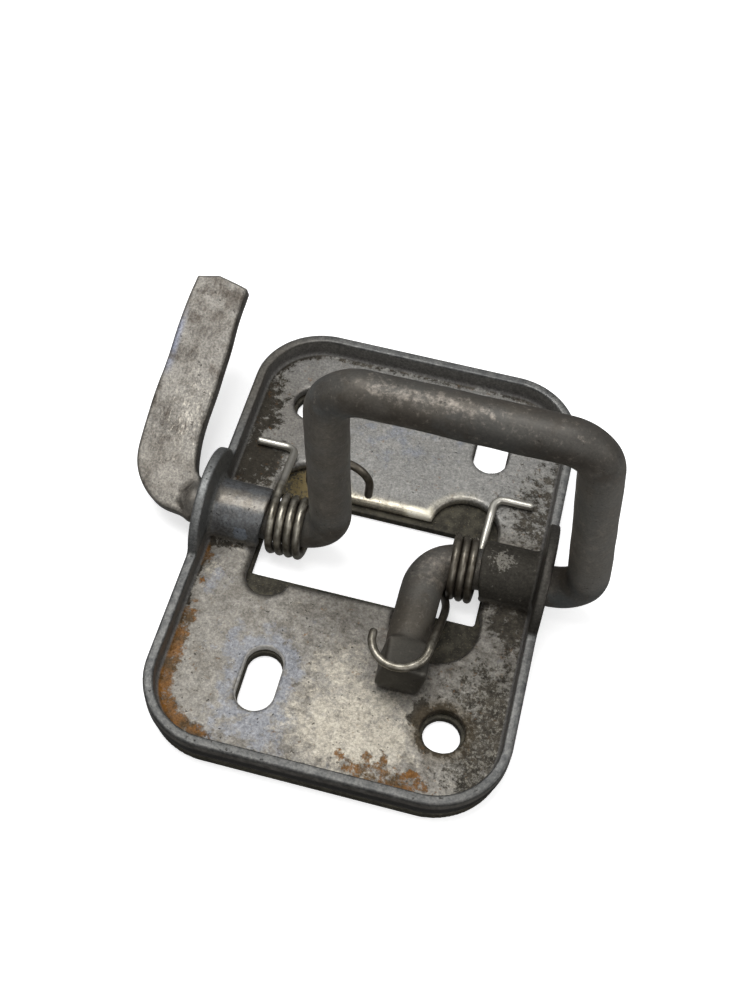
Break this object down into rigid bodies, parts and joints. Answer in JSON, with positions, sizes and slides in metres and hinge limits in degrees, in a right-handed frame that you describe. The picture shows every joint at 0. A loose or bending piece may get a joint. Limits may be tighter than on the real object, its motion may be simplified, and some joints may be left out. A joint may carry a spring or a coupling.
{
  "type": "toggle bolt latch",
  "caption": "Pressed steel latch plate with a spring-held bent round bar: side paddle handle, tall catch loop and short stop arm.",
  "frame": {"origin": "centre of the latch's footprint on the back mounting face", "axes": "+X along the shaft towards the outboard leg of the loop, +Y up the plate along the handle, +Z out of the plate along the loop"},
  "size_m": [0.1132, 0.115, 0.0702],
  "materials": {
    "worn_plate_steel": "worn grey pressed steel with rust in the corners",
    "dull_plate_steel": "dull dark olive sheet steel",
    "bar_steel": "dark worn round bar, brighter on the paddle",
    "spring_wire": "satin spring wire"
  },
  "bodies": {
    "plates": {"front_plate": "worn_plate_steel", "back_plate": "dull_plate_steel", "left_spring": "spring_wire", "right_spring": "spring_wire"},
    "bar": {"toggle_bar": "bar_steel"}
  },
  "joints": [
    {"name": "shaft_hinge", "type": "hinge", "parent": "plates", "child": "bar", "pos_m": [0.00333, 0.0011, 0.00778], "axis": [-1, 0, 0], "range_deg": [0, 70], "stiffness_Nm_per_rad": 0.9, "springref_deg": -20.05, "deforming": ["left_spring", "right_spring"]}
  ]
}
